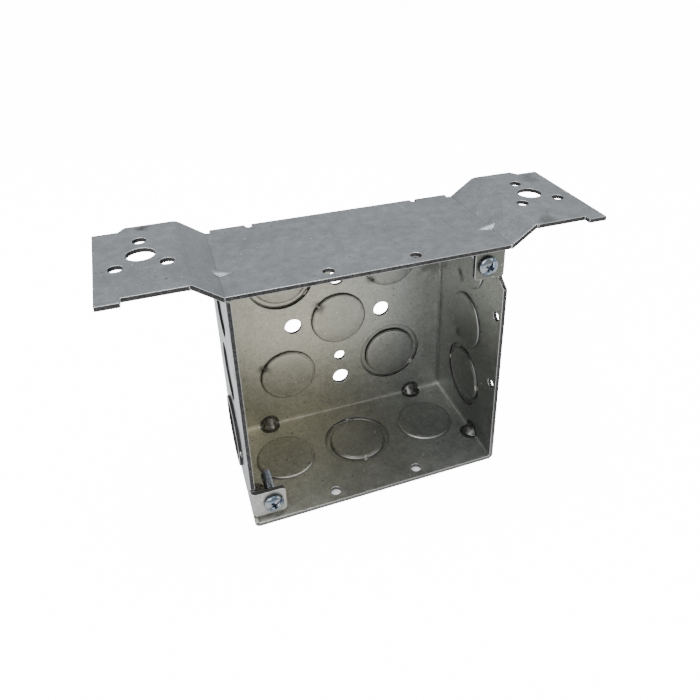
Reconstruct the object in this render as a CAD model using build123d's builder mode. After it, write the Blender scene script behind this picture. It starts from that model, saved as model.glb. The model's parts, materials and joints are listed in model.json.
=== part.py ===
from build123d import *
import os

# Square electrical box folded from one sheet of galvanised steel, with two cover screws.
# Millimetres. X runs across the box, Y from the opening to the back wall, and Z up.
# The origin is under the middle of the whole part, on the surface that it stands on.

# Sheet
sheet = 1.6
bend_inside = 0.6
seam_gap = 0.3

# Box, outside
box_width = 101.6
box_height = 101.6
box_depth = 54.0

# Hanger wings, folded up from the top plate
span = 177.8
wing_rise = 7.0
slope_run = 9.8
wing_bend_inside = 3.0
slope_lead = 0.5
wing_lead = 1.3
wing_rear = 49.6
tab_length = 8.6
tab_lead = 4.1
tab_rear = 46.4
tab_slant = 2.2
wing_end_slant = 1.4
wing_hole = 9.5
wing_hole_inset = 15.4
wing_hole_depth = 26.0
wing_small_hole = 4.8
wing_small_rear = 10.8
wing_small_front = 7.9
wing_small_side = 7.9

# Knockouts: a slug is pushed in, and the ring round a double one is pushed out
small_knockout = 22.6
large_knockout = 28.2
shear_gap = 0.25
slug_stands_in = 0.9
ring_stands_out = 1.3
tie_width = 2.6
tie_bite = 0.5

# Places of the knockouts
bottom_knockout_depth = 30.0
bottom_knockout_pitch = 32.0
side_knockout_depth = 27.4
side_knockout_height = 54.0
side_knockout_pitch = 28.6
face_middle = 51.2
back_knockout_offset = 24.0

# Plain holes
fixing_hole = 7.1
fixing_offset = 20.0
low_fixing_offset = 31.6
centre_hole = 4.8
edge_hole = 4.2
edge_hole_depth = 5.0
bottom_edge_hole_across = 17.4
top_edge_hole_across = 15.8
side_edge_hole_depth = 3.9
side_edge_hole_height = 53.2
side_edge_hole_offset = 16.0

# Stiffening darts, pressed in across the folds: a ridge inside over a groove outside
dart_reach = 3.4
dart_ridge = 3.6
dart_groove = 1.4
back_dart_across = 34.3
side_dart_depth = 16.5
wing_dart_plate_reach = 5.4
wing_dart_slope_reach = 3.0
wing_dart_ridge = 3.0

# Ears for the cover screws
screw_offset = 42.7
ear_setback = 2.0
ear_height = 11.2
ear_edge = 4.9
ear_corner = 1.6
ear_notch_slant = 3.3
ear_notch_clear = 2.0
ear_relief = 0.5

# Cover screws
screw_diameter = 4.1
screw_length = 15.9
screw_point = 0.5
running_clearance = 0.05
head_gap = 0.2
head_diameter = 7.6
head_height = 2.4
head_rounding = 1.1
driver_slot_width = 1.1
driver_slot_depth = 1.0
cross_width = 1.3
cross_length = 4.4
cross_depth = 1.6

# Worked out from the sizes above
bend_outside = bend_inside + sheet
bend_middle = bend_inside + sheet / 2
half_width = box_width / 2
underside = ring_stands_out
mouth = (tab_lead - box_depth - ring_stands_out) / 2
rear = mouth + box_depth
back_half = half_width - sheet - seam_gap
side_top = underside + box_height - sheet - seam_gap
tab_start = span / 2 - tab_length
wing_hole_across = span / 2 - wing_hole_inset
ear_inside = screw_offset - ear_height / 2
ear_outside = screw_offset + ear_height / 2
through = 3 * sheet

# Each wall has a plane on its outer face whose normal points into the box
bottom_face = Plane(origin=(0, mouth, underside), x_dir=(1, 0, 0), z_dir=(0, 0, 1))
top_face = Plane(origin=(0, mouth, underside + box_height), x_dir=(1, 0, 0), z_dir=(0, 0, 1))
back_face = Plane(origin=(0, rear, underside), x_dir=(1, 0, 0), z_dir=(0, -1, 0))
right_face = Plane(origin=(half_width, mouth, underside), x_dir=(0, 0, 1), z_dir=(-1, 0, 0))
left_face = Plane(origin=(-half_width, mouth, underside), x_dir=(0, 0, -1), z_dir=(1, 0, 0))


def dart_ridges(places):
    """Round ridges across square folds, each given by its outer corner, the way along it and the way in."""
    crest = (dart_reach + 2 * sheet) / 2**0.5
    half = (dart_reach + sheet) / 2**0.5
    ridges = []
    for corner, along, inward in places:
        with BuildPart() as ridge:
            with BuildSketch(Plane(origin=corner, x_dir=inward, z_dir=along)) as wedge:
                with BuildLine():
                    Polyline((sheet / 2**0.5, 0), (crest, -half), (crest, half), close=True)
                make_face()
            extrude(wedge.sketch, amount=dart_ridge, both=True)
            across = Vector(*along).cross(Vector(*inward))
            with BuildSketch(Plane(origin=corner, x_dir=along, z_dir=across)) as round_top:
                with Locations((0, crest - dart_ridge)):
                    Circle(dart_ridge)
            extrude(round_top.sketch, amount=2 * half, both=True, mode=Mode.INTERSECT)
        ridges.append(ridge.part)
    return ridges


def dart_grooves(places):
    """Cut the groove behind each ridge, leaving one sheet of metal between the two."""
    bottom = (dart_reach + 2 * sheet) / 2**0.5 - sheet
    for corner, along, inward in places:
        across = Vector(*along).cross(Vector(*inward))
        with BuildSketch(Plane(origin=corner, x_dir=along, z_dir=across)) as slot:
            with Locations((0, bottom - dart_groove)):
                Circle(dart_groove)
            with Locations((0, -dart_groove)):
                Rectangle(2 * dart_groove, 2 * bottom)
        extrude(slot.sketch, amount=2 * bottom, both=True, mode=Mode.SUBTRACT)


def middle_plane(out, normal):
    """A plane through the middle of the opening, where the two ears are turned half round."""
    return Plane(origin=(0, mouth, underside + face_middle), x_dir=out, z_dir=normal)


def cut_holes(face, places, diameter):
    """Punch round holes of one diameter through a wall."""
    with BuildSketch(face) as holes:
        with Locations(*places):
            Circle(diameter / 2)
    extrude(holes.sketch, amount=through, both=True, mode=Mode.SUBTRACT)


def slug(face, place, diameter, level):
    """Put a disc of sheet on a wall, its outer side at the given level."""
    with BuildSketch(face.offset(level)) as disc:
        with Locations(place):
            Circle(diameter / 2 - shear_gap)
    extrude(disc.sketch, amount=sheet)


def ring(face, place, outer, inner, level):
    """Put a flat ring of sheet on a wall, its outer side at the given level."""
    with BuildSketch(face.offset(level)) as band:
        with Locations(place):
            Circle(outer / 2 - shear_gap)
            Circle(inner / 2, mode=Mode.SUBTRACT)
    extrude(band.sketch, amount=sheet)


def tie(face, place, radius, angle, low, high):
    """Bridge the sheared gap at one angle with a short uncut neck of sheet."""
    with BuildSketch(face.offset(low)) as neck:
        with Locations(place):
            with PolarLocations(radius - shear_gap / 2, 1, start_angle=angle):
                Rectangle(shear_gap + 2 * tie_bite, tie_width)
    extrude(neck.sketch, amount=high - low)


def small_knockouts(face, places):
    """Plain knockouts: each slug is sheared round, pushed in and held by one tie."""
    cut_holes(face, [(x, y) for x, y, angle in places], small_knockout)
    for x, y, angle in places:
        slug(face, (x, y), small_knockout, slug_stands_in)
        tie(face, (x, y), small_knockout / 2, angle, slug_stands_in / 2, sheet + slug_stands_in / 2)


def double_knockouts(face, places):
    """Double knockouts: a ring pushed out holds a slug that is pushed back level with the wall."""
    cut_holes(face, [(x, y) for x, y, angle in places], large_knockout)
    for x, y, angle in places:
        low = -ring_stands_out / 2
        high = sheet - ring_stands_out / 2
        ring(face, (x, y), large_knockout, small_knockout, -ring_stands_out)
        slug(face, (x, y), small_knockout, 0)
        for turn in (0, 180):
            tie(face, (x, y), large_knockout / 2, angle + turn, low, high)
        tie(face, (x, y), small_knockout / 2, angle, low, high)


# Top plate and hanger wings: the folded section, trimmed to the outline of the blank

plate_middle = underside + box_height - sheet / 2
dart_level = mouth + side_dart_depth
dart_foot = (half_width - wing_dart_plate_reach, underside + box_height)
slope_length = (slope_run**2 + wing_rise**2) ** 0.5
along_slope = (slope_run / slope_length, wing_rise / slope_length)
dart_head = (
    half_width + wing_dart_slope_reach * along_slope[0] - sheet / 2 * along_slope[1],
    plate_middle + wing_dart_slope_reach * along_slope[1] + sheet / 2 * along_slope[0],
)
dart_line = (dart_head[0] - dart_foot[0], 0, dart_head[1] - dart_foot[1])
dart_section = Plane(origin=(dart_foot[0], dart_level, dart_foot[1]), x_dir=(0, 1, 0), z_dir=dart_line)
with BuildPart() as wing_dart:
    with BuildSketch(Plane.XZ.offset(-dart_level)):
        with BuildLine():
            Polyline(
                dart_foot,
                dart_head,
                (dart_head[0] + sheet / 2 * along_slope[1], dart_head[1] - sheet / 2 * along_slope[0]),
                (half_width, plate_middle),
                (dart_foot[0], plate_middle),
                close=True,
            )
        make_face()
    extrude(amount=wing_dart_ridge, both=True)
    with BuildSketch(dart_section):
        with Locations((0, -wing_dart_ridge)):
            Circle(wing_dart_ridge)
    extrude(amount=2 * (wing_dart_plate_reach + wing_dart_slope_reach), both=True, mode=Mode.INTERSECT)

with BuildPart() as hanger:
    with BuildSketch(Plane.XZ):
        with BuildLine():
            FilletPolyline(
                (0, plate_middle),
                (half_width, plate_middle),
                (half_width + slope_run, plate_middle + wing_rise),
                (span / 2, plate_middle + wing_rise),
                radius=[bend_middle, wing_bend_inside + sheet / 2],
            )
        trace(line_width=sheet)
    extrude(amount=box_depth, both=True)
    with BuildSketch(Plane.XY):
        with BuildLine():
            Polyline(
                (0, mouth),
                (half_width, mouth),
                (half_width, mouth - slope_lead),
                (half_width + slope_run, mouth - slope_lead),
                (half_width + slope_run, mouth - wing_lead),
                (tab_start, mouth - wing_lead),
                (tab_start, mouth - tab_lead),
                (span / 2 - wing_end_slant, mouth - tab_lead),
                (span / 2, mouth + tab_rear),
                (tab_start, mouth + tab_rear),
                (tab_start - tab_slant, mouth + wing_rear),
                (back_half, mouth + wing_rear),
                (back_half, rear - bend_outside),
                (0, rear - bend_outside),
                close=True,
            )
        make_face()
    extrude(amount=2 * (plate_middle + wing_rise), mode=Mode.INTERSECT)
    add(wing_dart.part)
    with BuildSketch(dart_section):
        with Locations((0, -sheet - dart_groove)):
            Circle(dart_groove)
    extrude(amount=2 * (wing_dart_plate_reach + wing_dart_slope_reach), both=True, mode=Mode.SUBTRACT)
    mirror(about=Plane.YZ)
    wing_places = []
    for side in (-1, 1):
        wing_places.append((side * wing_hole_across, wing_hole_depth + wing_small_rear))
        for shift in (-wing_small_side, wing_small_side):
            wing_places.append((side * wing_hole_across + shift, wing_hole_depth - wing_small_front))
    with BuildSketch(top_face):
        with Locations((-wing_hole_across, wing_hole_depth), (wing_hole_across, wing_hole_depth)):
            Circle(wing_hole / 2)
        with Locations(*wing_places):
            Circle(wing_small_hole / 2)
    extrude(amount=wing_rise + through, both=True, mode=Mode.SUBTRACT)

# Ear sheets: each is folded in from the front edge of a side wall

ears = []
for way in (-1, 1):
    with BuildPart() as ear:
        section = middle_plane((way, 0, 0), (0, 0, way))
        with BuildSketch(section.offset(ear_inside)):
            with BuildLine():
                FilletPolyline(
                    (screw_offset - ear_edge, ear_setback + sheet / 2),
                    (half_width - sheet / 2, ear_setback + sheet / 2),
                    (half_width - sheet / 2, ear_setback + 2 * bend_outside),
                    radius=bend_middle,
                )
            trace(line_width=sheet)
        extrude(amount=ear_height)
        free_edge = ear.faces().sort_by(Axis((0, 0, 0), (way, 0, 0)))[0]
        fillet(free_edge.edges().filter_by(Axis.Y), ear_corner)
    ears.append(ear.part)

# Darts across the square folds

darts = []
for side in (-1, 1):
    across = side * back_dart_across
    darts.append(((across, rear, underside), (1, 0, 0), (0, -1, 1)))
    darts.append(((across, rear, underside + box_height), (1, 0, 0), (0, -1, -1)))
    darts.append(((side * half_width, dart_level, underside), (0, 1, 0), (-side, 0, 1)))
ridges = dart_ridges(darts)

# The folded box

with BuildPart() as box_body:
    # Bottom, back wall and top plate, folded round the back
    with BuildSketch(Plane.YZ):
        with BuildLine():
            FilletPolyline(
                (mouth, underside + sheet / 2),
                (rear - sheet / 2, underside + sheet / 2),
                (rear - sheet / 2, plate_middle),
                (mouth, plate_middle),
                radius=bend_middle,
            )
        trace(line_width=sheet)
    extrude(amount=back_half, both=True)
    # Bottom and side walls, folded up from the bottom
    with BuildSketch(Plane.XZ.offset(-mouth)):
        with BuildLine():
            FilletPolyline(
                (-half_width + sheet / 2, side_top),
                (-half_width + sheet / 2, underside + sheet / 2),
                (half_width - sheet / 2, underside + sheet / 2),
                (half_width - sheet / 2, side_top),
                radius=bend_middle,
            )
        trace(line_width=sheet)
    extrude(amount=bend_outside - box_depth)
    # Rear stretch of the side walls, past the open corners of the blank
    for face, up in ((left_face, -1), (right_face, 1)):
        with BuildSketch(face):
            with BuildLine():
                Polyline(
                    (up * bend_outside, 2 * bend_outside),
                    (up * bend_outside, box_depth),
                    (up * (side_top - underside), box_depth),
                    (up * (side_top - underside), 2 * bend_outside),
                    close=True,
                )
            make_face()
        extrude(amount=sheet)
    add(hanger.part)
    # Front edges of the side walls set back for the ears
    for way in (-1, 1):
        notch = middle_plane((0, 1, 0), (way, 0, 0))
        notch_start = ear_inside - ear_notch_clear - ear_notch_slant
        notch_back = ear_setback + bend_outside
        with BuildSketch(notch.offset(back_half)):
            with BuildLine():
                Polyline(
                    (-sheet, notch_start),
                    (0, notch_start),
                    (notch_back, notch_start + ear_notch_slant),
                    (notch_back, ear_outside + ear_relief),
                    (-sheet, ear_outside + ear_relief),
                    close=True,
                )
            make_face()
        extrude(amount=through, mode=Mode.SUBTRACT)
    for ear_part in ears:
        add(ear_part)
    for ridge_part in ridges:
        add(ridge_part)
    # Threaded holes of the cover screws
    for way in (-1, 1):
        with BuildSketch(middle_plane((way, 0, 0), (0, -1, 0)).offset(-ear_setback)):
            with Locations((screw_offset, screw_offset)):
                Circle(screw_diameter / 2 + running_clearance)
        extrude(amount=sheet, both=True, mode=Mode.SUBTRACT)
    # Knockouts of the bottom
    small_knockouts(
        bottom_face,
        [(-bottom_knockout_pitch, bottom_knockout_depth, 100), (bottom_knockout_pitch, bottom_knockout_depth, 100)],
    )
    double_knockouts(bottom_face, [(0, bottom_knockout_depth, -90)])
    # Knockouts of the side walls
    for face, up in ((left_face, -1), (right_face, 1)):
        middle = up * side_knockout_height
        pitch = up * side_knockout_pitch
        small_knockouts(
            face,
            [(middle, side_knockout_depth, 150), (middle + pitch, side_knockout_depth, 150)],
        )
        double_knockouts(face, [(middle - pitch, side_knockout_depth, -90)])
    # Knockouts and fixing holes of the back wall
    low = face_middle - back_knockout_offset
    high = face_middle + back_knockout_offset
    small_knockouts(
        back_face,
        [
            (0, face_middle, 140),
            (-back_knockout_offset, low, 150),
            (back_knockout_offset, high, 222),
        ],
    )
    double_knockouts(
        back_face,
        [(back_knockout_offset, low, -40), (-back_knockout_offset, high, -40)],
    )
    cut_holes(
        back_face,
        [
            (-fixing_offset, face_middle),
            (fixing_offset, face_middle),
            (0, face_middle + fixing_offset),
            (0, face_middle - low_fixing_offset),
        ],
        fixing_hole,
    )
    cut_holes(back_face, [(0, face_middle - fixing_offset)], centre_hole)
    # Small holes along the front edges
    cut_holes(
        bottom_face,
        [(-bottom_edge_hole_across, edge_hole_depth), (bottom_edge_hole_across, edge_hole_depth)],
        edge_hole,
    )
    cut_holes(
        top_face,
        [(-top_edge_hole_across, edge_hole_depth), (top_edge_hole_across, edge_hole_depth)],
        edge_hole,
    )
    for face, up in ((left_face, -1), (right_face, 1)):
        heights = (side_edge_hole_height - side_edge_hole_offset, side_edge_hole_height + side_edge_hole_offset)
        cut_holes(face, [(up * height, side_edge_hole_depth) for height in heights], edge_hole)
    # Grooves of the darts
    dart_grooves(darts)

# Cover screws: pan heads with a slot across a cross recess

seat = -ear_setback + head_gap
screws = {}
for name, way in (("cover_screw_lower", -1), ("cover_screw_upper", 1)):
    with BuildPart() as screw:
        front = middle_plane((way, 0, 0), (0, -1, 0))
        axis_plane = Plane(
            origin=(way * screw_offset, mouth, underside + face_middle + way * screw_offset),
            x_dir=(1, 0, 0),
            z_dir=(0, 0, -1),
        )
        with BuildSketch(axis_plane):
            with BuildLine():
                Polyline(
                    (0, seat - screw_length),
                    (screw_diameter / 2 - screw_point, seat - screw_length),
                    (screw_diameter / 2, seat - screw_length + screw_point),
                    (screw_diameter / 2, seat),
                    (head_diameter / 2, seat),
                    (head_diameter / 2, seat + head_height),
                    (0, seat + head_height),
                    close=True,
                )
            make_face()
        revolve(axis=Axis(axis_plane.origin, (0, 1, 0)))
        rim = screw.edges().filter_by(GeomType.CIRCLE).group_by(Axis.Y)[0]
        chamfer(rim, head_rounding, head_rounding * 1.2)
        crown = front.offset(seat + head_height)
        with BuildSketch(crown):
            with Locations((screw_offset, screw_offset)):
                Rectangle(2 * head_diameter, driver_slot_width, rotation=30)
        extrude(amount=-driver_slot_depth, mode=Mode.SUBTRACT)
        with BuildSketch(crown):
            with Locations((screw_offset, screw_offset)):
                Rectangle(cross_length, cross_width, rotation=30)
                Rectangle(cross_width, cross_length, rotation=30)
        extrude(amount=-cross_depth, taper=12, mode=Mode.SUBTRACT)
    screws[name] = screw.part

# Names and files

os.makedirs("parts", exist_ok=True)
box_body.part.label = "box_body"
export_step(box_body.part, "parts/box_body.step")
for name, screw_part in screws.items():
    screw_part.label = name
    export_step(screw_part, "parts/" + name + ".step")
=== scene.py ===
# %% [markdown]
# # A square electrical box of galvanised steel
# The object is a steel box that cables run into. It is folded from one sheet of zinc-coated steel, its
# round knockouts are sheared almost free so that a fitter can break them out, and its top plate runs on
# into two hanger wings. The folded sheet comes finished from CAD, so this lesson makes what CAD leaves
# plain: the cover screws with their real threads, the torn necks of metal that still hold the knockouts,
# and the dull zinc skin.

import json
import math

import bpy
import numpy as np
from mathutils import Euler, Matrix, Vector


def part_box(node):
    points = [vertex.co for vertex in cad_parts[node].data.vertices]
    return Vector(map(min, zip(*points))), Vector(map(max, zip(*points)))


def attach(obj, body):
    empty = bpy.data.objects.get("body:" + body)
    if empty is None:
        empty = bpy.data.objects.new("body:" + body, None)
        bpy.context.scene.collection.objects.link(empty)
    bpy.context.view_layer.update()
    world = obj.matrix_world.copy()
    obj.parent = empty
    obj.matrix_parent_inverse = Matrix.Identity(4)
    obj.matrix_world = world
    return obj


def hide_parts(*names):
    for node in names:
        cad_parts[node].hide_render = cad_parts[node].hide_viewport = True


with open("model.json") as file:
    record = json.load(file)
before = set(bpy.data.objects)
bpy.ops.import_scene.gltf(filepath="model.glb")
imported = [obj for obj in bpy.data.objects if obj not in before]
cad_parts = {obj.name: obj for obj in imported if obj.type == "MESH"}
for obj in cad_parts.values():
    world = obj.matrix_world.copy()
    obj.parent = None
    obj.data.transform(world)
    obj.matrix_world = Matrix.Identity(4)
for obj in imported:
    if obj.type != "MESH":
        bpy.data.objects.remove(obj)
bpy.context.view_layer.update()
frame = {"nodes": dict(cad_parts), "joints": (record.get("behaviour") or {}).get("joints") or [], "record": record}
MM = 0.001
mounts = {mount["name"]: mount for mount in frame["record"]["mounts"]}
print("nodes:", sorted(frame["nodes"]), "mounts:", len(mounts))

# %% [markdown]
# Every new piece here is a surface worked out with numpy and handed to Blender as whole arrays. A surface
# of this kind is a sheet of rows and columns, like a fishing net, so one short function can join the
# knots of any net into faces. Each net closes round on itself in the column direction, as a tube does,
# and its two open ends are drawn together into poles.

# %% A function that turns nets of points into a mesh
def net_faces(rows, columns):
    """Each face joins knots (i, j), (i, j + 1), (i + 1, j + 1) and (i + 1, j).

    The last column joins the first.
    """
    index = np.arange(rows * columns).reshape(rows, columns)
    beside = np.roll(index, -1, axis=1)
    return np.stack([index[:-1], beside[:-1], beside[1:], index[1:]], axis=-1).reshape(-1, 4)


def piece_from_nets(name, nets, body):
    """Join closed nets, each of shape (rows, columns, 3), into one smooth mesh with a pole at both ends."""
    points, faces, start = [], [], 0
    for net in nets:
        rows, columns, _ = net.shape
        last = (rows - 1) * columns
        around = np.arange(columns)
        beside = np.roll(around, -1)
        poles = np.array([rows * columns, rows * columns + 1])
        first_fan = np.stack([beside, around, np.full(columns, poles[0])], axis=-1)
        last_fan = np.stack([last + around, last + beside, np.full(columns, poles[1])], axis=-1)
        points.append(np.concatenate([net.reshape(-1, 3), net[0].mean(0)[None], net[-1].mean(0)[None]]))
        faces += (net_faces(rows, columns) + start).tolist()
        faces += (first_fan + start).tolist() + (last_fan + start).tolist()
        start += rows * columns + 2
    mesh = bpy.data.meshes.new(name)
    mesh.from_pydata(np.concatenate(points).tolist(), [], faces)
    mesh.polygons.foreach_set("use_smooth", np.ones(len(faces), dtype=bool))
    mesh.update()
    made = bpy.data.objects.new(name, mesh)
    bpy.context.scene.collection.objects.link(made)
    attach(made, body)
    size = np.ptp(np.concatenate(points), axis=0) / MM
    print(name, "points", start, "faces", len(faces), "size in mm", size.round(2))
    return made


# %% [markdown]
# ## The cover screws
# A box of this kind comes with two pan head machine screws in its ears. The thread is 8-32, which is 32
# turns to the inch, so one turn is 0.794 mm high. The head has a straight slot over a cross recess. A
# screw could be stacked from a cylinder, a dome and a helix cut with booleans. Here it is one closed net
# instead: it starts at the crown, runs over the rim, under the head and down the shank. The helix is only
# a small wave of the radius.

# %% Sizes of one screw in mm, the outer ones read from the CAD node
THREAD_PITCH = 25.4 / 32
THREAD_HEIGHT = 0.43
SHANK_RADIUS = 2.04
HEAD_HEIGHT = 2.4
CROWN_HEIGHT = 1.75
SLOT_HALF_WIDTH = 0.7
SLOT_DEPTH = 1.25
CROSS_HALF_WIDTH = 0.6
CROSS_REACH = 1.9
CROSS_DEPTH = 1.6
SLOT_TURN = {"lower": math.radians(28), "upper": math.radians(55)}

low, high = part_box("cover_screw_lower")
head_radius = (high.x - low.x) / 2 / MM
whole_length = (high.y - low.y) / MM
print("head radius", round(head_radius, 2), "mm, length over all", round(whole_length, 2), "mm")

# %% [markdown]
# A recess with straight walls looks ragged on round net lines, because the walls cut across the knots. So
# the spokes of this net are not even. Near the slot and the cross they keep a fixed distance from the
# arm's middle line, which puts a pair of knots on each wall. Between the arms the spokes are shared out
# evenly.

# %% Spokes that follow the driver recess
def spoke_angles(radius):
    """A spoke at distance p from an arm's line has the angle arcsin(p / r); the rest are shared evenly."""
    reach = np.maximum(radius, 1.1)[:, None]
    slot_edge = SLOT_HALF_WIDTH + np.array([-0.32, -0.02, 0.02, 0.09, 0.13])
    cross_edge = CROSS_HALF_WIDTH + np.array([-0.3, -0.01, 0.03])
    slot_side = np.concatenate([-slot_edge[::-1], [0], slot_edge])
    cross_side = np.concatenate([-cross_edge[::-1], [0], cross_edge])
    share = np.linspace(0, 1, 9)[1:-1]
    columns = []
    for quarter in range(4):
        side = slot_side if quarter % 2 == 0 else cross_side
        columns.append(quarter * np.pi / 2 + np.arcsin(side / reach))
        edge = np.arcsin(side[-1] / reach)
        columns.append(quarter * np.pi / 2 + edge + share * (np.pi / 2 - 2 * edge))
    return np.concatenate(columns, axis=1)


def recess_depth(across, up, radius):
    """The deeper of a slot, where the height off its line is small, and a cross near the middle."""
    slot_wall = np.clip((SLOT_HALF_WIDTH + 0.02 - abs(up)) / 0.04, 0, 1)
    narrow = CROSS_HALF_WIDTH + 0.01 - np.minimum(abs(across), abs(up))
    cross_wall = np.clip(narrow / 0.04, 0, 1) * np.clip((CROSS_REACH - radius) / 0.25, 0, 1)
    return np.maximum(SLOT_DEPTH * slot_wall, CROSS_DEPTH * cross_wall)


# %% The outline from crown to point, and the thread
def screw_net():
    """Rows follow the outline (radius, distance behind the crown); the thread is a wave of the radius."""
    crown = np.concatenate([np.linspace(0.05, 2.15, 14), np.linspace(2.2, head_radius, 26)])
    crown_behind = CROWN_HEIGHT * (1 - (1 - (crown / head_radius) ** 2.1) ** (1 / 1.9))
    under = np.array([head_radius, head_radius - 0.12, head_radius - 0.3, 3.0, 2.35, SHANK_RADIUS])
    under_behind = HEAD_HEIGHT + np.array([-0.4, -0.12, 0, 0, 0, 0.25])
    shank_behind = np.arange(HEAD_HEIGHT + 0.3, whole_length, THREAD_PITCH / 12)
    shank = np.full(len(shank_behind), SHANK_RADIUS)
    radius = np.concatenate([crown, under, shank])
    behind = np.concatenate([crown_behind, under_behind, shank_behind])[:, None]
    angle = spoke_angles(radius)
    phase = (behind / THREAD_PITCH - angle / (2 * np.pi)) % 1
    tooth = np.clip(1.25 * (1 - abs(2 * phase - 1)) - 0.05, 0, 1)
    fade = np.clip((behind - HEAD_HEIGHT - 0.5) / 0.8, 0, 1) * (behind > HEAD_HEIGHT)
    round_radius = radius[:, None] - THREAD_HEIGHT * (1 - tooth) * fade
    point_cone = 1.45 + 0.8 * (whole_length - behind)
    round_radius = np.where(fade > 0, np.minimum(round_radius, point_cone), round_radius)
    across, up = round_radius * np.cos(angle), round_radius * np.sin(angle)
    on_crown = (np.arange(len(radius)) < len(crown))[:, None]
    sunk = recess_depth(across, up, round_radius) * on_crown
    depth = np.minimum(behind + sunk, np.where(on_crown, 2.1, whole_length))
    return np.stack([across, np.broadcast_to(depth, across.shape), up], axis=-1)


net = screw_net()
teeth = (whole_length - HEAD_HEIGHT) / THREAD_PITCH
print("screw net, rows and columns:", net.shape[:2], "teeth:", round(teeth, 1))

# %% Put a screw in each ear
def place_screw(name, node, body, turn):
    """Turn the net about its own line, then move its middle to the middle of the CAD screw."""
    low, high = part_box(node)
    middle = np.array([(low.x + high.x) / 2, low.y, (low.z + high.z) / 2])
    across, behind, up = np.moveaxis(net * MM, -1, 0)
    turned_across = across * math.cos(turn) - up * math.sin(turn)
    turned_up = across * math.sin(turn) + up * math.cos(turn)
    turned = np.stack([turned_across, behind, turned_up], axis=-1)
    screw = piece_from_nets(name, [turned + middle], body)
    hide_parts(node)
    return screw


screws = [
    place_screw("lower_screw_threaded", "cover_screw_lower", "lower_screw", SLOT_TURN["lower"]),
    place_screw("upper_screw_threaded", "cover_screw_upper", "upper_screw", SLOT_TURN["upper"]),
]

# %% [markdown]
# ## The torn necks of the knockouts
# The press shears each slug round its edge and stops short at one spot, so a neck of steel about 2.6 mm
# wide stays and is stretched as the slug is pushed in. On a double knockout two necks hold the ring to
# the wall, and one holds the slug to the ring. They could be painted on, but their ragged shine catches
# the light from every side. Each is a short tube with a rounded square section, which ramps from the
# level of one sheet to the level of the other. Its waist stands proud of the sheet, most of all between a
# slug and its ring. None reaches past the rings, because the box stands on one of them.

# %% The walls, the knockouts on them and the angle of each neck
WALLS = {
    "bottom": ((1, 0, 0), (0, 1, 0), (0, 0, 1)),
    "back": ((1, 0, 0), (0, 0, 1), (0, -1, 0)),
    "right": ((0, 0, 1), (0, 1, 0), (-1, 0, 0)),
    "left": ((0, 0, -1), (0, 1, 0), (1, 0, 0)),
}
NECK_ANGLE = {
    "bottom_knockout_left": 100,
    "bottom_knockout_right": 100,
    "bottom_double_knockout": -90,
    "right_knockout_middle": 150,
    "right_knockout_upper": 150,
    "right_double_knockout": -90,
    "left_knockout_middle": 150,
    "left_knockout_upper": 150,
    "left_double_knockout": -90,
    "back_knockout_middle": 140,
    "back_knockout_lower": 150,
    "back_knockout_upper": 222,
    "back_double_knockout_lower": -40,
    "back_double_knockout_upper": -40,
}
SHEET = 1.6
SLUG_IN = 0.9
RING_OUT = 1.3
SMALL_RADIUS = 11.3
LARGE_RADIUS = 14.1
SHEAR_GAP = 0.25
necks = []
for name, angle in NECK_ANGLE.items():
    if "double" in name:
        necks += [(name, LARGE_RADIUS, angle, 0, -RING_OUT), (name, LARGE_RADIUS, angle + 180, 0, -RING_OUT)]
        necks.append((name, SMALL_RADIUS, angle, -RING_OUT, 0))
    else:
        necks.append((name, SMALL_RADIUS, angle, 0, SLUG_IN))
print("knockouts:", len(NECK_ANGLE), "necks:", len(necks))

# %% The neck's net
NECK_HALF_WIDTH = 1.3
NECK_HALF_LENGTH = 1.35
SQUARENESS = 0.45


def wall_axes(name):
    """Two directions along the wall that a knockout is in, and the one into the box."""
    return (np.array(axis, float) for axis in WALLS[name.split("_")[0]])


def neck_net(name, radius, angle, outside, inside, seed):
    """Along u a sine eases the level from inside to outside; a power of cos v and sin v squares the tube."""
    across, along, inward = wall_axes(name)
    centre = np.array(mounts[name]["pos_m"]) / MM
    u, v = np.meshgrid(np.linspace(-1, 1, 17), np.linspace(0, 2 * np.pi, 33)[:-1], indexing="ij")
    ease = (1 - np.sin(np.clip(u * 1.25, -1, 1) * np.pi / 2)) / 2
    level = outside + (inside - outside) * ease + SHEET / 2
    wide = np.sign(np.cos(v)) * abs(np.cos(v)) ** SQUARENESS
    thick = np.sign(np.sin(v)) * abs(np.sin(v)) ** SQUARENESS
    waves = np.sin(9 * u + 5 * wide + seed) * np.sin(4 * u - 7 * wide + 2 * seed)
    ragged = waves + 0.6 * np.sin(17 * wide + 11 * u)
    waist = np.exp(-((u / 0.45) ** 2))
    proud = 0.6 if outside < 0 else 0.3
    side = wide * (NECK_HALF_WIDTH - 0.12 * waist + 0.06 * ragged * waist)
    height = level + thick * (SHEET / 2 - 0.06 + proud * waist + 0.07 * ragged * waist)
    height = np.maximum(height, -RING_OUT + 0.02)
    away = radius - SHEAR_GAP / 2 + NECK_HALF_LENGTH * u
    turn = math.radians(angle)
    out = across * math.cos(turn) + along * math.sin(turn)
    beside = -across * math.sin(turn) + along * math.cos(turn)
    return (centre + away[..., None] * out + side[..., None] * beside + height[..., None] * inward) * MM


neck_nets = [neck_net(*neck, seed) for seed, neck in enumerate(necks)]
torn_necks = piece_from_nets("knockout_necks", neck_nets, "box")

# %% [markdown]
# ## The drawn lips round the knockouts
# No light comes through the shear line of a real knockout. The steel is drawn along with the punch before
# it tears, and it leaves a soft shoulder that still touches on both sides. Such a lip is a ring with an
# oval section. It runs from one side of a neck round to the other, where it ends inside the neck. Between
# the slug and the ring of a double knockout it stops a little sooner, so that the neck shows.

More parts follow.
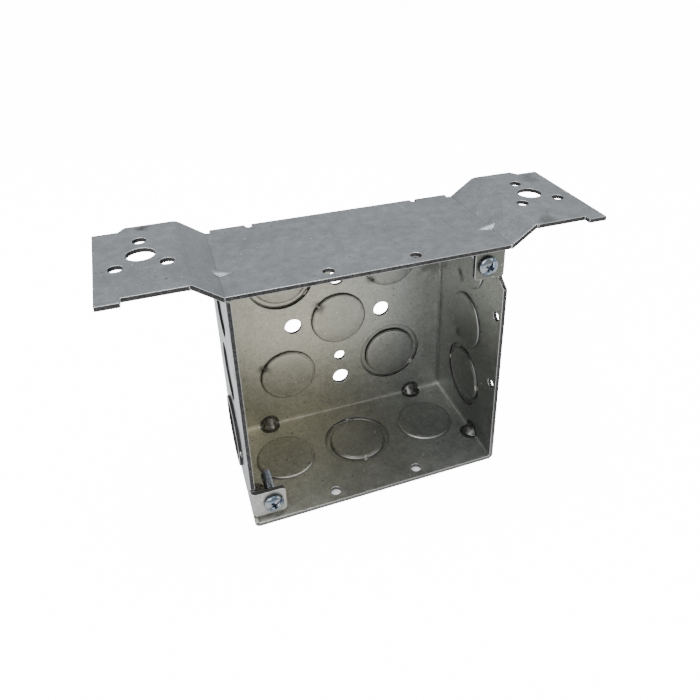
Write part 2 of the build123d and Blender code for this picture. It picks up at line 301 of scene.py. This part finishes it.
# %% Lips as arcs with an oval section, with sizes in mm and the gap at the neck in degrees
SLUG_LIP = {"radius": SMALL_RADIUS - 0.05, "level": SHEET + 0.25, "wide": 0.95, "high": 0.72, "gap": 3}
INNER_LIP = {"radius": SMALL_RADIUS - 0.05, "level": 0.5, "wide": 0.55, "high": 0.9, "gap": 5.5}
RING_LIP = {"radius": LARGE_RADIUS - 0.12, "level": 0.25, "wide": 0.35, "high": 0.4, "gap": 3}


def lip_net(name, angle, seed, radius, level, wide, high, gap):
    """At turn t and section angle v: radius + wide cos v from the centre, level - high sin v into the box."""
    across, along, inward = wall_axes(name)
    centre = np.array(mounts[name]["pos_m"]) / MM
    turn = math.radians(angle) + np.linspace(math.radians(gap), math.radians(360 - gap), 145)[:, None]
    v = np.linspace(0, 2 * np.pi, 17)[None, :-1]
    wobble = 1 + 0.07 * np.sin(7 * turn + seed) * np.sin(16 * turn - seed)
    away = radius + wide * wobble * np.cos(v)
    height = level - high * wobble * np.sin(v)
    out = across * np.cos(turn)[..., None] + along * np.sin(turn)[..., None]
    return (centre + away[..., None] * out + height[..., None] * inward) * MM


lips = []
for name, angle in NECK_ANGLE.items():
    shapes = (INNER_LIP, RING_LIP) if "double" in name else (SLUG_LIP,)
    lips += [(name, angle, shape) for shape in shapes]
lip_nets = [lip_net(name, angle, seed, **shape) for seed, (name, angle, shape) in enumerate(lips)]
drawn_lips = piece_from_nets("knockout_lips", lip_nets, "box")
print("lips:", len(lips))

# %% [markdown]
# Where the folds of the bottom meet the back wall and a side wall, a small opening is left in the corner.
# The photograph shows hardly any daylight there, so here the bends are taken to crowd the steel into the
# corner. A bead in the shape of a cube with soft edges stands for it. It lies just under the three outer
# faces.

# %% Beads in the two lower rear corners
REAR = mounts["back_knockout_middle"]["pos_m"][1]
UNDERSIDE = mounts["bottom_double_knockout"]["pos_m"][2]
HALF_WIDTH = mounts["right_knockout_middle"]["pos_m"][0]
BEAD_HALF = 1.15 * MM
BEAD_IN = 1.25 * MM


def bead_net(side):
    """A ball's coordinates raised to the power 0.5, with their signs kept, are a cube with soft edges."""
    rise, turn = np.meshgrid(np.linspace(-1.45, 1.45, 15), np.linspace(0, 2 * np.pi, 25)[:-1], indexing="ij")
    ball = np.stack([np.cos(rise) * np.cos(turn), np.cos(rise) * np.sin(turn), np.sin(rise)], axis=-1)
    soft = np.sign(ball) * abs(ball) ** 0.5
    return np.array([side * (HALF_WIDTH - BEAD_IN), REAR - BEAD_IN, UNDERSIDE + BEAD_IN]) + BEAD_HALF * soft


beads = piece_from_nets("corner_beads", [bead_net(-1), bead_net(1)], "box")

# %% [markdown]
# ## Materials
# Colours are written as the sRGB hex codes that a colour picker shows, and Blender works with linear
# light, so one function converts them. One more function adds a shader node, sets it and links it, and
# every material below is built with just that.

# %% Helpers for materials
def linear(code):
    """sRGB to linear: c / 12.92 up to 0.04045, and ((c + 0.055) / 1.055) to the power 2.4 above it."""
    c = np.array([int(code[i : i + 2], 16) for i in (1, 3, 5)]) / 255
    return (*np.where(c <= 0.04045, c / 12.92, ((c + 0.055) / 1.055) ** 2.4), 1.0)


def add(tree, kind, inputs, **settings):
    """Add a node; a socket gets a fixed value, or a link where its value is another node's output."""
    node = tree.nodes.new("ShaderNode" + kind)
    for name, value in settings.items():
        setattr(node, name, value)
    for socket, value in inputs.items():
        if isinstance(value, bpy.types.NodeSocket):
            tree.links.new(value, node.inputs[socket])
        else:
            node.inputs[socket].default_value = value
    return node.outputs


def new_material(name):
    """An empty node tree with a Principled shader wired to its output."""
    material = bpy.data.materials.new(name)
    material.use_nodes = True
    tree = material.node_tree
    tree.nodes.clear()
    shader = tree.nodes.new("ShaderNodeBsdfPrincipled")
    output = tree.nodes.new("ShaderNodeOutputMaterial")
    tree.links.new(shader.outputs["BSDF"], output.inputs["Surface"])
    return material, tree, shader


# %% [markdown]
# ### Hot-dip galvanised steel sheet
# The sheet is dipped in molten zinc and left dull, so it is a rough metal with a soft, cloudy grey. What
# the eye picks up is a fine salt and pepper of dark and light specks, clouds some centimetres wide, and a
# warmer tone inside, where dust and forming oil stay on the walls. The press leaves bare steel on every
# sheared edge: dark, rough and streaked across the sheet. The material has to find those edges by itself,
# because the folded box is one mesh. It asks which wall a point belongs to, and whether the surface looks
# along that wall or across it. A limit called FAR, a whole metre, leaves a range open at that end.

# %% Coordinates and small arithmetic for the sheet material
steel, tree, shader = new_material("hot_dip_galvanised_steel_sheet")
surface = add(tree, "TexCoord", {})
point = surface["Object"]
px, py, pz = add(tree, "SeparateXYZ", {0: point})
nx, ny, nz = add(tree, "SeparateXYZ", {0: surface["Normal"]})


def maths(operation, first, second=0.0):
    """One arithmetic step on numbers, such as MAXIMUM or GREATER_THAN."""
    return add(tree, "Math", {0: first, 1: second}, operation=operation)[0]


def times(*factors):
    """Multiply numbers, one after another."""
    result = factors[0]
    for factor in factors[1:]:
        result = maths("MULTIPLY", result, factor)
    return result


def size_of(value):
    """A number without its sign."""
    return maths("ABSOLUTE", value)


def between(value, lowest, highest):
    """1 where a value lies between two limits, and 0 elsewhere."""
    middle, half = (lowest + highest) / 2, (highest - lowest) / 2
    return maths("LESS_THAN", size_of(maths("SUBTRACT", value, middle)), half)


MOUTH = frame["joints"][0]["pos_m"][1]
TOP = mounts["top_edge_holes"]["pos_m"][2]
FAR = 1.0
print("depth", round((REAR - MOUTH) / MM, 1), "mm, height", round((TOP - UNDERSIDE) / MM, 1), "mm")

# %% Sheared edges
ACROSS_WALL = 0.35
PLATE_IN, BACK_IN, WALL_IN = 1.7 * MM, 3.4 * MM, 2.8 * MM
PAST_RINGS = RING_OUT * MM + 0.2 * MM
x_size = size_of(px)
EAR_FRONT, EAR_REAR, EAR_START = MOUTH + 1.8 * MM, MOUTH + 3.8 * MM, 37 * MM
ear_depth = between(py, EAR_FRONT, EAR_REAR)
ear_zone = times(ear_depth, between(x_size, EAR_START, HALF_WIDTH + 0.1 * MM))
ear_zone = times(ear_zone, maths("GREATER_THAN", size_of(ny), ACROSS_WALL))
walls = [
    (between(pz, TOP - PLATE_IN, FAR), nz),
    (between(py, REAR - BACK_IN, FAR), ny),
    (between(pz, -FAR, UNDERSIDE + WALL_IN), nz),
    (between(x_size, HALF_WIDTH - WALL_IN, HALF_WIDTH + PAST_RINGS), nx),
    (ear_zone, ny),
]
flat = 0.0
for near_wall, normal in walls:
    looks_across = maths("GREATER_THAN", size_of(normal), ACROSS_WALL)
    flat = maths("MAXIMUM", flat, times(near_wall, looks_across))
sheared = maths("SUBTRACT", 1.0, flat)
print("zones that count as walls:", len(walls))

# %% The inside of the box
def dot(first, second):
    """How far one direction points along another."""
    return add(tree, "VectorMath", {0: first, 1: second}, operation="DOT_PRODUCT")["Value"]


MIDDLE = (0, (MOUTH + REAR) / 2, (UNDERSIDE + TOP) / 2)
from_middle = add(tree, "VectorMath", {0: point, 1: MIDDLE}, operation="SUBTRACT")["Vector"]
looks_in = maths("LESS_THAN", dot(from_middle, surface["Normal"]), 0.0)
inside = times(looks_in, between(x_size, -FAR, HALF_WIDTH + PAST_RINGS))
print("middle of the box in mm:", [round(value / MM, 1) for value in MIDDLE])

# %% [markdown]
# The slugs are not quite flat: the punch leaves them domed, with a soft shoulder. The dome follows the
# distance to the nearest slug, measured in its radii, so the material works out that one number for all
# fourteen knockouts and bends its bump by it. Round each double knockout the press leaves a faint second
# ring as well.

# %% Distance to the nearest knockout
def nearest_of(places, radius_mm):
    """The smallest distance to a list of places, measured in radii."""
    nearest = 100.0
    for spot in places:
        distance = add(tree, "VectorMath", {0: point, 1: spot}, operation="DISTANCE")["Value"]
        nearest = maths("MINIMUM", nearest, maths("DIVIDE", distance, radius_mm * MM))
    return nearest


doubles = [name for name in NECK_ANGLE if "double" in name]
slug_ratio = nearest_of([mounts[name]["pos_m"] for name in NECK_ANGLE], SMALL_RADIUS)
ring_ratio = nearest_of([mounts[name]["pos_m"] for name in doubles], LARGE_RADIUS)
dome = maths("MAXIMUM", maths("SUBTRACT", 1.0, maths("POWER", slug_ratio, 5.0)), 0.0)
from_ghost = size_of(maths("SUBTRACT", ring_ratio, 1.2))
ghost = maths("MAXIMUM", maths("SUBTRACT", 1.0, times(from_ghost, 30.0)), 0.0)
print("slugs in the pattern:", len(NECK_ANGLE), "rings:", len(doubles))

# %% [markdown]
# A fold in thin steel would give way, so the press drives a dart across it, which stiffens the corner.
# The dart is geometry from CAD, and its corner gets a painted shade that looks almost black.
# Fingers, oil and the torn necks leave smudges too. Each is a ball of influence with its place, its
# radius in mm and its strength.

# %% Places of the pressed darts and of the smudges
DART_ACROSS, DART_DEPTH, DART_IN = 34.3 * MM, 16.5 * MM, 2.6 * MM
DART_RADIUS = 4.4
dart_places = []
for side in (-1, 1):
    dart_places.append((side * DART_ACROSS, REAR - DART_IN, UNDERSIDE + DART_IN))
    dart_places.append((side * (HALF_WIDTH - DART_IN), MOUTH + DART_DEPTH, UNDERSIDE + DART_IN))
pressed = maths("LESS_THAN", nearest_of(dart_places, DART_RADIUS), 1.0)
WING_TOP = TOP + 7 * MM
smudge_places = [
    ((-72.5 * MM, MOUTH + 46.8 * MM, WING_TOP), 2.6, 0.9),
    ((42.5 * MM, REAR - 2 * MM, 88 * MM), 6.0, 0.5),
    ((43.5 * MM, REAR - 2 * MM, 72 * MM), 8.0, 0.5),
    ((41 * MM, REAR - 2 * MM, 97 * MM), 5.0, 0.5),
    ((66 * MM, MOUTH + 1 * MM, WING_TOP), 4.0, 0.5),
    ((82 * MM, MOUTH + 40 * MM, WING_TOP), 5.0, 0.4),
]
for name, angle in NECK_ANGLE.items():
    if "double" not in name and "bottom" not in name:
        across, along, inward = wall_axes(name)
        turn = math.radians(angle)
        out = across * math.cos(turn) + along * math.sin(turn)
        spot = np.array(mounts[name]["pos_m"]) + MM * (SMALL_RADIUS * out + (SHEET + SLUG_IN / 2) * inward)
        smudge_places.append((tuple(spot), 3.1, 0.8))
print("darts:", len(dart_places), "smudges:", len(smudge_places))

# %% [markdown]
# The zinc itself is made of patterns with real sizes. Noise 22 mm wide gives the clouds, 4.5 mm the
# mottle and 0.7 mm the grain, and the last two also bend the light a little. Noise keeps mostly between
# 0.3 and 0.7, so that is the range which gets stretched. The specks are the seeds of two Voronoi
# patterns, each with the width of its cells in mm and the radius of its largest speck as a share of a
# cell. Not quite half of the cells keep their speck, and one speck in five is bright instead of dark.
# Scratches are noise stretched 14 times.

# %% Clouds, grain, specks and scratches of the zinc
def noise(size_mm, detail, roughness=0.5):
    """A cloud pattern whose features are about size_mm across."""
    settings = {"Vector": point, "Scale": 1000 / size_mm, "Detail": detail, "Roughness": roughness}
    return add(tree, "TexNoise", settings)[0]


def spread(value, lowest, highest, start, end):
    """Stretch a value from one range to another, and hold it at the ends."""
    return add(tree, "MapRange", {0: value, 1: lowest, 2: highest, 3: start, 4: end})[0]


def plus(*terms):
    """Add numbers, one after another."""
    result = terms[0]
    for term in terms[1:]:
        result = maths("ADD", result, term)
    return result


NOISE_RANGE = (0.3, 0.7)
SPECKS = ((2.9, 0.13), (1.2, 0.15))
STRETCH = {"Rotation": (0.3, 0.5, 0.6), "Scale": (1, 14, 14)}
clouds = noise(22, 3)
mottle = noise(4.5, 4, 0.6)
grain = noise(0.7, 2)
specks = []
for cell_mm, size in SPECKS:
    cells = add(tree, "TexVoronoi", {"Vector": point, "Scale": 1000 / cell_mm})
    chance, kind, _ = add(tree, "SeparateColor", {0: cells["Color"]})
    kept = maths("GREATER_THAN", chance, 0.55)
    ragged_edge = plus(cells["Distance"], spread(noise(0.25, 1), *NOISE_RANGE, -0.04, 0.04))
    near = maths("LESS_THAN", ragged_edge, times(chance, size))
    specks.append((times(near, kept), kind))
stretched = add(tree, "Mapping", {"Vector": point, **STRETCH})[0]
scratch_noise = add(tree, "TexNoise", {"Vector": stretched, "Scale": 120.0, "Detail": 1.0})[0]
scratch = maths("GREATER_THAN", scratch_noise, 0.735)
print("sizes of the speck cells in mm:", [cell_mm for cell_mm, size in SPECKS])

# %% Smudges with a broken edge
smudge = 0.0
for spot, radius_mm, strength in smudge_places:
    reach = plus(nearest_of([spot], radius_mm), spread(mottle, *NOISE_RANGE, -0.4, 0.4))
    shown = times(inside, strength) if abs(spot[0]) < HALF_WIDTH else strength
    smudge = maths("MAXIMUM", smudge, spread(reach, 0.4, 1.1, shown, 0))
print("nodes so far:", len(tree.nodes))

# %% [markdown]
# Now the colours. Outside, the zinc is a cool grey, and the two ears differ by a painted reflection, because each
# mirrors another part of the room. Inside, a film of forming oil makes the left and the rear warmer, and low down
# there and on the bottom a painted reflected light makes the tone lighter. On the right, toward the opening,
# painted shade makes the inside a darker grey low down. Steel in a corner also mirrors its neighbours, so painted
# reflections make the bottom lighter beside the side walls and the right wall lighter toward its ear. Those two
# shades follow the photograph.

# %% Two ways to blend
def mix(share, first, second, blend="MIX"):
    """Blend two colours by a share from 0 to 1."""
    return add(tree, "Mix", {0: share, 6: first, 7: second}, data_type="RGBA", blend_type=blend)[2]


def mix_number(share, first, second):
    """Blend two numbers by a share from 0 to 1."""
    return add(tree, "Mix", {0: share, 2: first, 3: second})[0]


# %% Tone outside and inside
zinc_tone = mix(spread(clouds, 0.35, 0.65, 0, 1), linear("#8a8e92"), linear("#92969a"))
# The ears' tone holds a painted reflection: lighter on the left ear, darker on the right one.
ear_tone_with_painted_reflection = mix(spread(px, -40 * MM, 40 * MM, 0, 1), linear("#9c9d99"), linear("#5d5e59"))
outer_tone = mix(ear_zone, zinc_tone, ear_tone_with_painted_reflection)
low_down = spread(pz, 85 * MM, 45 * MM, 0, 1)
# The oil film makes the left and the rear warmer; the lighter tone low down there and on the bottom is painted
# reflected light.
oil_and_painted_light = times(spread(px, 30 * MM, -10 * MM, 0, 1), spread(py, MOUTH, REAR, 0.3, 1))
# Painted shade: the right part of the inside goes a darker grey low down, toward the opening.
painted_shade_right = times(spread(px, 20 * MM, HALF_WIDTH, 0, 1), spread(py, REAR, MOUTH + 20 * MM, -0.4, 1))
clean_tone_and_painted_shade = mix(times(painted_shade_right, low_down), linear("#929491"), linear("#727573"))
at_bottom = spread(pz, UNDERSIDE + 4 * MM, UNDERSIDE + 2 * MM, 0, 1)
painted_light_oily_tone = mix(at_bottom, linear("#adab9b"), linear("#bfbdae"))
inner_tone = mix(oil_and_painted_light, clean_tone_and_painted_shade, mix(low_down, linear("#8e8d81"), painted_light_oily_tone))
tone = mix(inside, outer_tone, inner_tone)
print("nodes so far:", len(tree.nodes))

# %% Light and dark parts of the tone
flecks = noise(1.7, 3, 0.7)
shade = times(spread(mottle, *NOISE_RANGE, 0.93, 1.06), spread(grain, *NOISE_RANGE, 0.88, 1.1))
shade = times(shade, spread(flecks, *NOISE_RANGE, 0.9, 1.09), spread(slug_ratio, 0.9, 1.0, 0.88, 1))
# Painted reflections: the bottom is lighter beside the side walls, and the right wall lighter toward its ear.
painted_reflection_beside_walls = spread(x_size, 12 * MM, 44 * MM, 0.86, 1.75)
shade = times(shade, mix_number(times(at_bottom, inside), 1.0, painted_reflection_beside_walls))
painted_reflection_under_ear = spread(pz, 50 * MM, 76 * MM, 1.0, 1.85)
at_right = times(between(px, HALF_WIDTH - 3 * MM, HALF_WIDTH + 1 * MM), inside)
shade = times(shade, mix_number(at_right, 1.0, painted_reflection_under_ear))
grey_shade = add(tree, "CombineColor", {0: shade, 1: shade, 2: shade})[0]
tone = mix(1.0, tone, grey_shade, "MULTIPLY")
print("nodes so far:", len(tree.nodes))

# %% Specks, scratches, smudges and the painted shade in the darts
for near, kind in specks:
    speck_tone = mix(maths("GREATER_THAN", kind, 0.8), linear("#3a3b3e"), linear("#d9dbdb"))
    tone = mix(times(near, 0.7), tone, speck_tone)
tone = mix(times(scratch, 0.25), tone, linear("#c9cbcb"))
tone = mix(smudge, tone, linear("#45453f"))
# Painted shade, almost black, over each dart in the lower folds.
painted_dart_shade = times(pressed, spread(noise(1.6, 3, 0.7), 0.35, 0.65, 0.55, 0.95))
tone = mix(painted_dart_shade, tone, linear("#2b2b26"))
print("nodes so far:", len(tree.nodes))

# %% [markdown]
# The sheared edges get their streaky dark steel. The lowest ones get a painted reflection of the pale floor, which
# makes them lighter. Two thin lines of painted shade come last: the crease where a wing leaves the plate, and the
# open seam between the back wall and the side walls, which is in its own shade.

# %% Sheared edges, creases and seams
edge_tone = mix(spread(noise(0.9, 2), 0.35, 0.65, 0, 1), linear("#2f2f30"), linear("#4a494a"))
# Painted reflection of the pale floor: the lowest sheared edges are lighter.
edge_tone = mix(spread(pz, 20 * MM, 5 * MM, 0, 1), edge_tone, linear("#6c6d6b"))
tone = mix(sheared, tone, edge_tone)
# Painted shade lines: the crease where each wing leaves the plate, and the open seams in their own shade.
on_plate = between(pz, TOP - 1 * MM, FAR)
crease = times(between(x_size, HALF_WIDTH - 0.3 * MM, HALF_WIDTH + 0.2 * MM), on_plate)
seam = times(between(x_size, HALF_WIDTH - 3.2 * MM, HALF_WIDTH), between(py, REAR - 3 * MM, FAR))
seam = times(seam, between(pz, UNDERSIDE + 4 * MM, TOP - 1 * MM))
tone = mix(plus(times(crease, 0.18), times(seam, 0.2)), tone, linear("#3a3b39"))
print("nodes so far:", len(tree.nodes))

# %% [markdown]
# The real edges are not knife sharp. The zinc wraps over them with a radius of about half a millimetre, and that
# small roll gives the thin bright line along each edge. A Bevel node turns the normals near an edge as such a roll
# would, and where it turns them, a painted highlight makes the colour brighter. The rims of the knockouts are left
# out of this and get painted shade instead: on a standing wall on the faces that look up, and on the bottom on the
# faces that look to the rear. That painted shade gives each knockout its dark crescent.

# %% Rounded edges with a painted highlight, and painted shade on the sides of the rims
EDGE_ROLL = 0.45 * MM
slug_rim = spread(size_of(maths("SUBTRACT", slug_ratio, 1.035)), 0.035, 0.065, 1, 0)
ring_rim = spread(size_of(maths("SUBTRACT", ring_ratio, 0.995)), 0.02, 0.045, 1, 0)
rim = maths("MAXIMUM", slug_rim, ring_rim)
rolled = add(tree, "Bevel", {"Radius": EDGE_ROLL}, samples=8)[0]
straight = dot(rolled, add(tree, "NewGeometry", {})["Normal"])
# A painted highlight along each rounded edge, weaker inside the box.
painted_highlight_arris = times(spread(straight, 0.99, 0.85, 0, 1), maths("SUBTRACT", 1.0, rim))
# Painted shade on the rims of the knockouts: on the sides that face up on the standing walls, and to the rear on
# the bottom.
rim_shade_walls = [
    (between(py, REAR - 4 * MM, FAR), (-0.5, 0, 0.85), 0.9),
    (between(pz, -FAR, UNDERSIDE + 4 * MM), (-0.3, 0.9, 0), 0.65),
    (between(x_size, HALF_WIDTH - 4 * MM, FAR), (0, -0.3, 0.9), 0.35),
]
rim_painted_shade = 0.0
for near_wall, direction, most in rim_shade_walls:
    rim_shaded = spread(dot(surface["Normal"], direction), -0.1, 0.45, 0.1, most)
    rim_painted_shade = maths("MAXIMUM", rim_painted_shade, times(near_wall, rim_shaded))
tone = mix(times(rim, rim_painted_shade), tone, linear("#3d3d39"))
tone = mix(times(painted_highlight_arris, spread(inside, 0, 1, 0.75, 0.4)), tone, linear("#dcdede"))
print("nodes so far:", len(tree.nodes))

# %% Bump and roughness, and the sheet material in place
GRAIN_HEIGHT, MOTTLE_HEIGHT, DOME_HEIGHT, GHOST_HEIGHT = 0.012 * MM, 0.03 * MM, 0.22 * MM, 0.03 * MM
height = plus(times(grain, GRAIN_HEIGHT), times(mottle, MOTTLE_HEIGHT))
height = plus(height, times(dome, DOME_HEIGHT), times(ghost, GHOST_HEIGHT))


def bump(height, **inputs):
    """Bend the normals by a height in metres."""
    return add(tree, "Bump", {"Strength": 1.0, "Distance": 1.0, "Height": height, **inputs})[0]


rough = plus(spread(mottle, *NOISE_RANGE, 0.36, 0.5), times(sheared, 0.25))
rough = maths("SUBTRACT", rough, times(painted_highlight_arris, 0.2))
tree.links.new(tone, shader.inputs["Base Color"])
tree.links.new(rough, shader.inputs["Roughness"])
tree.links.new(bump(height, Normal=rolled), shader.inputs["Normal"])
shader.inputs["Metallic"].default_value = 0.92
box_mesh = frame["nodes"]["box_body"].data
box_mesh.materials.clear()
for mesh in (box_mesh, drawn_lips.data, beads.data):
    mesh.materials.append(steel)
print("sheet material nodes:", len(tree.nodes))

# %% [markdown]
# ### Torn zinc-coated steel
# Where a neck was stretched, the zinc has cracked and bare steel shows between bright scraps of coating.
# It is rougher and more broken up than the sheet, so its pattern is finer and its contrast higher.

# %% Material of the necks
torn, tree, shader = new_material("torn_zinc_coated_steel")
point = add(tree, "TexCoord", {})["Object"]
scraps = noise(1.1, 4, 0.7)
tone = mix(spread(scraps, 0.42, 0.6, 0, 1), linear("#55554f"), linear("#c4c3b8"))
tree.links.new(tone, shader.inputs["Base Color"])
tree.links.new(bump(times(scraps, 0.15 * MM)), shader.inputs["Normal"])
tree.links.new(spread(scraps, *NOISE_RANGE, 0.55, 0.32), shader.inputs["Roughness"])
shader.inputs["Metallic"].default_value = 0.9
torn_necks.data.materials.append(torn)
print("torn steel nodes:", len(tree.nodes))

# %% [markdown]
# ### Bright zinc-plated steel screw
# The screws are plated in a bath and passivated, which leaves them brighter and smoother than the dipped
# sheet, with a blue film in places on the head. Most of what you see on them is reflection, so low
# roughness does most of the work. The driver recess is dark, because little light finds its way in: an
# Ambient Occlusion node measures how enclosed a point is, and the tone follows it.

# %% Material of the screws
zinc, tree, shader = new_material("bright_zinc_plated_steel_screw")
point = add(tree, "TexCoord", {})["Object"]
film = noise(2.2, 3)
plating = noise(0.5, 2)
behind = add(tree, "SeparateXYZ", {0: point})["Y"]
on_head = spread(behind, MOUTH + 1 * MM, MOUTH + 3 * MM, 1, 0)
blue = times(spread(film, 0.42, 0.6, 0, 0.6), on_head)
tone = mix(blue, linear("#85898c"), linear("#4f6680"))
open_air = add(tree, "AmbientOcclusion", {"Distance": 2.4 * MM}, samples=8)["AO"]
tone = mix(spread(open_air, 0.4, 0.95, 0.8, 0), tone, linear("#2b3a4c"))
tree.links.new(tone, shader.inputs["Base Color"])
tree.links.new(bump(times(plating, 0.012 * MM)), shader.inputs["Normal"])
tree.links.new(spread(film, *NOISE_RANGE, 0.16, 0.26), shader.inputs["Roughness"])
shader.inputs["Metallic"].default_value = 1.0
for screw in screws:
    screw.data.materials.append(zinc)
print("screw material nodes:", len(tree.nodes))

# %% [markdown]
# ## The studio
# The box stands on a plain pale floor. Steel shows what is round it more than its own colour: the back
# wall mirrors the floor in front of the box, and the top plate mirrors the dim far end of the room. A
# floor and a room as white as in a catalogue picture would wash the steel out. So both are white only to
# rays that come straight from the camera, and much dimmer to every ray that lights the box or is mirrored
# in it. The paper under the box lies in its shade, so that no white shines through the gaps of the
# bottom.

# %% Floor
FLOOR_GLOW, SHADE_GLOW, WHITE_GLOW = 0.2, 0.35, 14.0
floor_mesh = bpy.data.meshes.new("studio_floor")
floor_mesh.from_pydata([(-4, -4, 0), (4, -4, 0), (4, 4, 0), (-4, 4, 0)], [], [(0, 1, 2, 3)])
floor = bpy.data.objects.new("studio_floor", floor_mesh)
bpy.context.scene.collection.objects.link(floor)
floor.location.z = -0.0001
paper, tree, shader = new_material("white_background_paper")
point = add(tree, "TexCoord", {})["Object"]
fibres = noise(3, 3)
tree.links.new(mix(fibres, linear("#f4f4f2"), linear("#fbfbfa")), shader.inputs["Base Color"])
shader.inputs["Roughness"].default_value = 0.9
shader.inputs["Emission Color"].default_value = (1, 1, 1, 1)
px, py, _ = add(tree, "SeparateXYZ", {0: point})
under_box = times(between(px, -46 * MM, 46 * MM), between(py, MOUTH + 4 * MM, REAR - 5 * MM))
seen = add(tree, "LightPath", {})["Is Camera Ray"]
glow_seen = spread(under_box, 0, 1, WHITE_GLOW, SHADE_GLOW)
tree.links.new(spread(seen, 0, 1, FLOOR_GLOW, glow_seen), shader.inputs["Emission Strength"])
floor_mesh.materials.append(paper)
print("floor height in mm:", floor.location.z / MM)

# %% [markdown]
# Four soft panels light the box, as in a small tent of cloth. The large one at the front left is the main
# light. The top panel draws the bright lines on the wing darts, the edges and the crowns of the screws,
# and the two side panels keep the walls from going black.

# %% Lights
def soft_panel(name, place, size, power):
    """A square area light that looks at the middle of the box."""
    lamp = bpy.data.lights.new(name, "AREA")
    lamp.size, lamp.energy = size, power
    panel = bpy.data.objects.new(name, lamp)
    panel.location = place
    panel.rotation_euler = (Vector((0, 0, 0.05)) - Vector(place)).to_track_quat("-Z", "Y").to_euler()
    bpy.context.scene.collection.objects.link(panel)
    print(name, "at", place, "size", size, "power", power)


soft_panel("top_panel", (0.05, 0.05, 1.3), 0.7, 12)
soft_panel("key_panel", (-0.8, -0.7, 1.0), 0.9, 16)
soft_panel("right_panel", (1.0, -0.6, 0.7), 0.8, 5)
soft_panel("left_panel", (-1.1, 0.4, 0.5), 0.6, 6)

# %% The room
ROOM_GLOW = 0.72
world = bpy.data.worlds.new("dim_room")
world.use_nodes = True
tree = world.node_tree
seen = add(tree, "LightPath", {})["Is Camera Ray"]
background = tree.nodes["Background"]
background.inputs["Color"].default_value = (0.97, 0.985, 1.0, 1)
tree.links.new(spread(seen, 0, 1, ROOM_GLOW, WHITE_GLOW), background.inputs["Strength"])
bpy.context.scene.world = world
print("room glow:", ROOM_GLOW, "and to the camera:", WHITE_GLOW)

# %% [markdown]
# ## The camera
# The place and lens of the camera were worked out from the corners of the box in the photograph, with all
# sizes known. The shift moves the frame without tilting the camera, as the crop of the photograph does.

# %% Camera
camera_data = bpy.data.cameras.new("camera")
camera_data.sensor_width = 36
camera_data.lens = 33.795
camera_data.shift_x, camera_data.shift_y = -0.049, -0.1434
camera = bpy.data.objects.new("camera", camera_data)
camera.location = (-0.06539, -0.20730, 0.20783)
camera.rotation_euler = Euler([math.radians(angle) for angle in (63.202, 0.363, -20.577)])
bpy.context.scene.collection.objects.link(camera)
bpy.context.scene.camera = camera
print("camera at", [round(value, 3) for value in camera.location], "lens", camera_data.lens, "mm")
